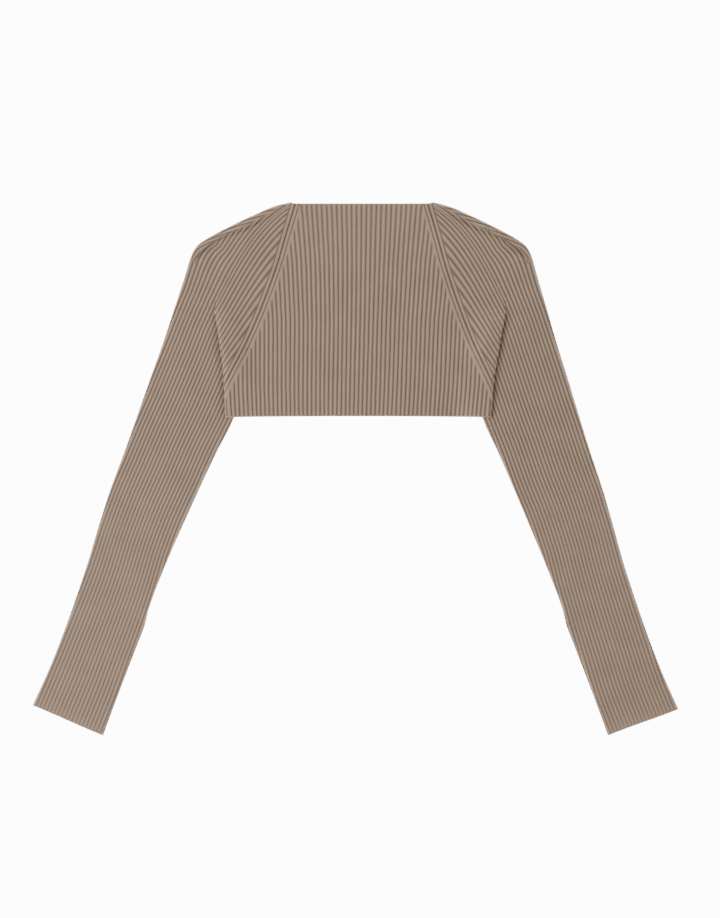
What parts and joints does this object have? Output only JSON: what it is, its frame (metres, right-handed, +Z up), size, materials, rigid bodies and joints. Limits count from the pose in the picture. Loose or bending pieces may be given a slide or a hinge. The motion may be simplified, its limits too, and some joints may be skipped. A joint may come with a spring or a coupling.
{
  "type": "knitted shrug",
  "caption": "Cropped rib-knit shrug laid flat, with raglan sleeves folded down beside the body and self-finished edges.",
  "frame": {"origin": "middle of the garment's outline on the surface that it lies on", "axes": "+Y from the hem towards the neck edge, +X to the right as seen from above, +Z up out of the surface"},
  "size_m": [0.8724, 0.7196, 0.01],
  "materials": {
    "rib_knit": "matt taupe rib knit with a soft brushed surface"
  },
  "bodies": {
    "root": {"front_panel": "rib_knit", "back_panel": "rib_knit", "left_sleeve": "rib_knit", "right_sleeve": "rib_knit"}
  },
  "joints": []
}
